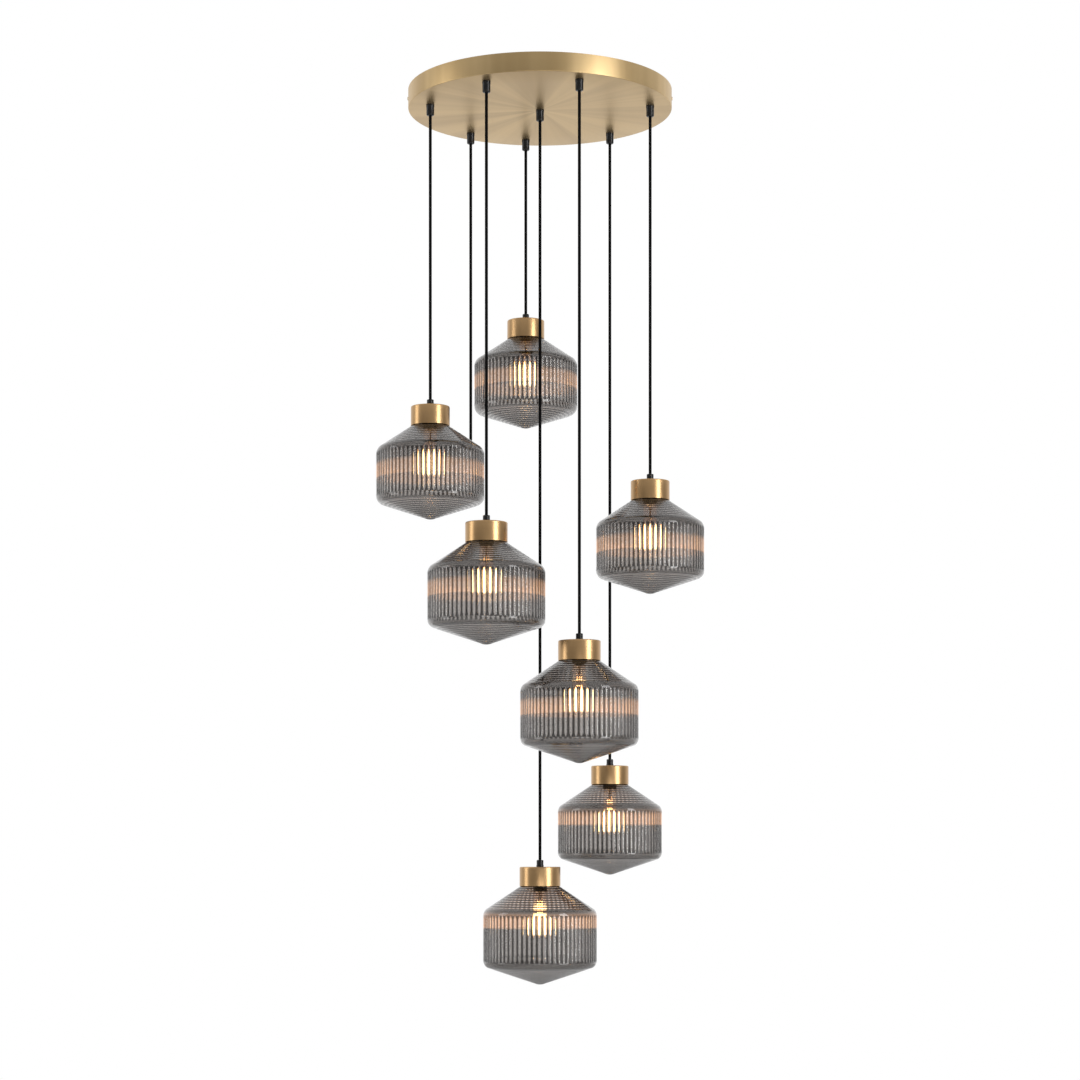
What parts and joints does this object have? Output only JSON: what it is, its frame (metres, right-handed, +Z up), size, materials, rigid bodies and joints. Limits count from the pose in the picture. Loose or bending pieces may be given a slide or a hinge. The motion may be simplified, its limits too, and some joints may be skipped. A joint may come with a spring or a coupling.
{
  "type": "cluster pendant",
  "caption": "Ceiling cluster pendant: a round brass canopy with fluted smoked-glass lamps hanging on black cords at staggered heights.",
  "frame": {"origin": "on the ceiling plane, at the canopy's axis, midway between the two ceiling screws", "axes": "+Z up, -Y towards the viewer of the picture, +X to the viewer's right"},
  "size_m": [0.6183, 0.615, 1.6956],
  "materials": {
    "canopy_brass": "satin brushed",
    "cap_brass": "satin brushed",
    "screw_brass": "satin",
    "zinc_steel": "zinc plated",
    "black_moulding": "semi-gloss",
    "cord_fabric": "braided",
    "smoked_glass": "polished, fluted",
    "clear_glass": "polished",
    "lamp_metal": "polished",
    "terminal_plastic": "matt"
  },
  "bodies": {
    "canopy": {"canopy": "canopy_brass", "ceiling_bracket": "zinc_steel", "rim_screws": "screw_brass", "canopy_cord_grips": "black_moulding", "grip_lock_nuts": "zinc_steel", "terminal_block": "terminal_plastic", "cord_tails": "cord_fabric"},
    "drop_1": {"cord_1": "cord_fabric"},
    "lamp_1": {"cord_grip_1": "black_moulding", "cap_1": "cap_brass", "lampholder_1": "black_moulding", "shade_1": "smoked_glass", "lamp_glass_1": "clear_glass", "lamp_base_1": "lamp_metal"},
    "drop_2": {"cord_2": "cord_fabric"},
    "lamp_2": {"cord_grip_2": "black_moulding", "cap_2": "cap_brass", "lampholder_2": "black_moulding", "shade_2": "smoked_glass", "lamp_glass_2": "clear_glass", "lamp_base_2": "lamp_metal"},
    "drop_3": {"cord_3": "cord_fabric"},
    "lamp_3": {"cord_grip_3": "black_moulding", "cap_3": "cap_brass", "lampholder_3": "black_moulding", "shade_3": "smoked_glass", "lamp_glass_3": "clear_glass", "lamp_base_3": "lamp_metal"},
    "drop_4": {"cord_4": "cord_fabric"},
    "lamp_4": {"cord_grip_4": "black_moulding", "cap_4": "cap_brass", "lampholder_4": "black_moulding", "shade_4": "smoked_glass", "lamp_glass_4": "clear_glass", "lamp_base_4": "lamp_metal"},
    "drop_5": {"cord_5": "cord_fabric"},
    "lamp_5": {"cord_grip_5": "black_moulding", "cap_5": "cap_brass", "lampholder_5": "black_moulding", "shade_5": "smoked_glass", "lamp_glass_5": "clear_glass", "lamp_base_5": "lamp_metal"},
    "drop_6": {"cord_6": "cord_fabric"},
    "lamp_6": {"cord_grip_6": "black_moulding", "cap_6": "cap_brass", "lampholder_6": "black_moulding", "shade_6": "smoked_glass", "lamp_glass_6": "clear_glass", "lamp_base_6": "lamp_metal"},
    "drop_7": {"cord_7": "cord_fabric"},
    "lamp_7": {"cord_grip_7": "black_moulding", "cap_7": "cap_brass", "lampholder_7": "black_moulding", "shade_7": "smoked_glass", "lamp_glass_7": "clear_glass", "lamp_base_7": "lamp_metal"},
    "spare_drop": {"spare_cord": "cord_fabric", "spare_cord_cap": "black_moulding"}
  },
  "joints": [
    {"name": "swing_1", "type": "hinge", "parent": "canopy", "child": "drop_1", "pos_m": [-0.02814, 0.20811, -0.052], "axis": [1, 0, 0], "range_deg": [-3, 3]},
    {"name": "height_1", "type": "slide", "parent": "drop_1", "child": "lamp_1", "axis": [0, 0, 1], "range_m": [0, 0.18], "deforming": ["cord_1"]},
    {"name": "swing_2", "type": "hinge", "parent": "canopy", "child": "drop_2", "pos_m": [-0.20681, -0.03647, -0.052], "axis": [1, 0, 0], "range_deg": [-3, 3]},
    {"name": "height_2", "type": "slide", "parent": "drop_2", "child": "lamp_2", "axis": [0, 0, 1], "range_m": [0, 0.35], "deforming": ["cord_2"]},
    {"name": "swing_3", "type": "hinge", "parent": "canopy", "child": "drop_3", "pos_m": [0.20796, -0.02923, -0.052], "axis": [1, 0, 0], "range_deg": [-3, 3]},
    {"name": "height_3", "type": "slide", "parent": "drop_3", "child": "lamp_3", "axis": [0, 0, 1], "range_m": [0, 0.4], "deforming": ["cord_3"]},
    {"name": "swing_4", "type": "hinge", "parent": "canopy", "child": "drop_4", "pos_m": [-0.09794, -0.18576, -0.052], "axis": [1, 0, 0], "range_deg": [-3, 3]},
    {"name": "height_4", "type": "slide", "parent": "drop_4", "child": "lamp_4", "axis": [0, 0, 1], "range_m": [0, 0.07], "deforming": ["cord_4"]},
    {"name": "swing_5", "type": "hinge", "parent": "canopy", "child": "drop_5", "pos_m": [0.07182, -0.19734, -0.052], "axis": [1, 0, 0], "range_deg": [-3, 3]},
    {"name": "height_5", "type": "slide", "parent": "drop_5", "child": "lamp_5", "axis": [0, 0, 1], "range_m": [0, 0.06], "deforming": ["cord_5"]},
    {"name": "swing_6", "type": "hinge", "parent": "canopy", "child": "drop_6", "pos_m": [0.13694, 0.15921, -0.052], "axis": [1, 0, 0], "range_deg": [-3, 3]},
    {"name": "height_6", "type": "slide", "parent": "drop_6", "child": "lamp_6", "axis": [0, 0, 1], "range_m": [0, 0.25], "deforming": ["cord_6"]},
    {"name": "swing_7", "type": "hinge", "parent": "canopy", "child": "drop_7", "pos_m": [0, 0, -0.052], "axis": [1, 0, 0], "range_deg": [-3, 3]},
    {"name": "height_7", "type": "slide", "parent": "drop_7", "child": "lamp_7", "axis": [0, 0, 1], "range_m": [0, 0.07], "deforming": ["cord_7"]},
    {"name": "spare_swing", "type": "hinge", "parent": "canopy", "child": "spare_drop", "pos_m": [-0.13583, 0.16016, -0.052], "axis": [1, 0, 0], "range_deg": [-3, 3]}
  ]
}
